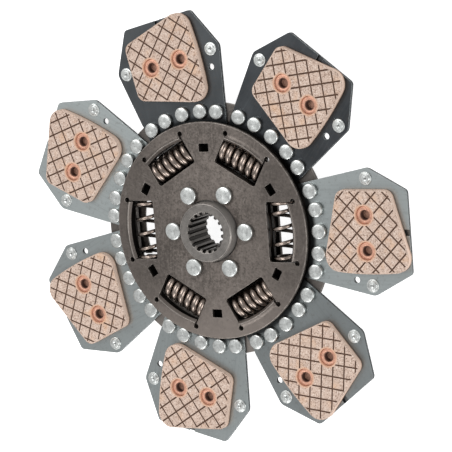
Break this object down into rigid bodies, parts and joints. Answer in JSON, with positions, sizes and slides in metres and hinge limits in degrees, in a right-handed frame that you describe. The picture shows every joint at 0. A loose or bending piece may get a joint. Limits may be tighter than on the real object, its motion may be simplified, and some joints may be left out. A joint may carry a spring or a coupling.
{
  "type": "clutch disc",
  "caption": "Clutch disc with sintered pads on sprung paddles, a splined hub and a coil-spring torsion damper between two cover plates.",
  "frame": {"origin": "on the bore axis, in the middle plane of the carrier disc", "axes": "+Z along the bore axis to the flywheel side, +X along one soft damper spring and one paddle"},
  "size_m": [0.3436, 0.3516, 0.0331],
  "materials": {
    "cover_steel": "brown phosphated",
    "hub_steel": "turned, phosphated",
    "carrier_steel": "rolled, phosphated",
    "sheet_steel": "blue-grey spring steel",
    "zinc_rivet": "bright zinc plated",
    "spring_steel": "oiled spring wire",
    "ring_steel": "ground",
    "sintered_lining": "sintered, matt",
    "copper": "copper plated",
    "friction_ring": "moulded friction material"
  },
  "bodies": {
    "hub_side": {"splined_hub": "hub_steel", "front_cover_plate": "cover_steel", "rear_cover_plate": "cover_steel", "hub_rivets": "zinc_rivet", "front_friction_ring": "friction_ring", "rear_friction_ring": "friction_ring", "front_thrust_ring": "ring_steel", "rear_thrust_ring": "ring_steel", "disc_spring": "ring_steel"},
    "paddle_side": {"carrier_disc": "carrier_steel", "front_backing_plates": "copper", "front_pad_1": "sintered_lining", "front_pad_2": "sintered_lining", "front_pad_3": "sintered_lining", "front_pad_4": "sintered_lining", "front_pad_5": "sintered_lining", "front_pad_6": "sintered_lining", "front_pad_7": "sintered_lining", "front_sheet_1": "sheet_steel", "front_sheet_2": "sheet_steel", "front_sheet_3": "sheet_steel", "front_sheet_4": "sheet_steel", "front_sheet_5": "sheet_steel", "front_sheet_6": "sheet_steel", "front_sheet_7": "sheet_steel", "pad_rivets": "copper", "rear_backing_plates": "copper", "rear_pad_1": "sintered_lining", "rear_pad_2": "sintered_lining", "rear_pad_3": "sintered_lining", "rear_pad_4": "sintered_lining", "rear_pad_5": "sintered_lining", "rear_pad_6": "sintered_lining", "rear_pad_7": "sintered_lining", "rear_sheet_1": "sheet_steel", "rear_sheet_2": "sheet_steel", "rear_sheet_3": "sheet_steel", "rear_sheet_4": "sheet_steel", "rear_sheet_5": "sheet_steel", "rear_sheet_6": "sheet_steel", "rear_sheet_7": "sheet_steel", "rim_rivets": "zinc_rivet", "side_rivets": "zinc_rivet"},
    "spring_pack": {"stiff_spring_1": "spring_steel", "stiff_spring_2": "spring_steel", "stiff_spring_3": "spring_steel", "stiff_spring_4": "spring_steel", "soft_spring_1": "spring_steel", "soft_spring_2": "spring_steel"}
  },
  "joints": [
    {"name": "damper_twist", "type": "hinge", "parent": "hub_side", "child": "paddle_side", "pos_m": [0, 0, 0], "axis": [0, 0, 1], "range_deg": [-5, 5], "stiffness_Nm_per_rad": 300, "deforming": ["stiff_spring_1", "stiff_spring_2", "stiff_spring_3", "stiff_spring_4", "soft_spring_1", "soft_spring_2"]},
    {"name": "spring_follow", "type": "hinge", "parent": "hub_side", "child": "spring_pack", "pos_m": [0, 0, 0], "axis": [0, 0, 1], "range_deg": [-2.5, 2.5]}
  ],
  "couplings": [
    {"joint": "spring_follow", "follows": "damper_twist", "ratio": 0.5}
  ]
}
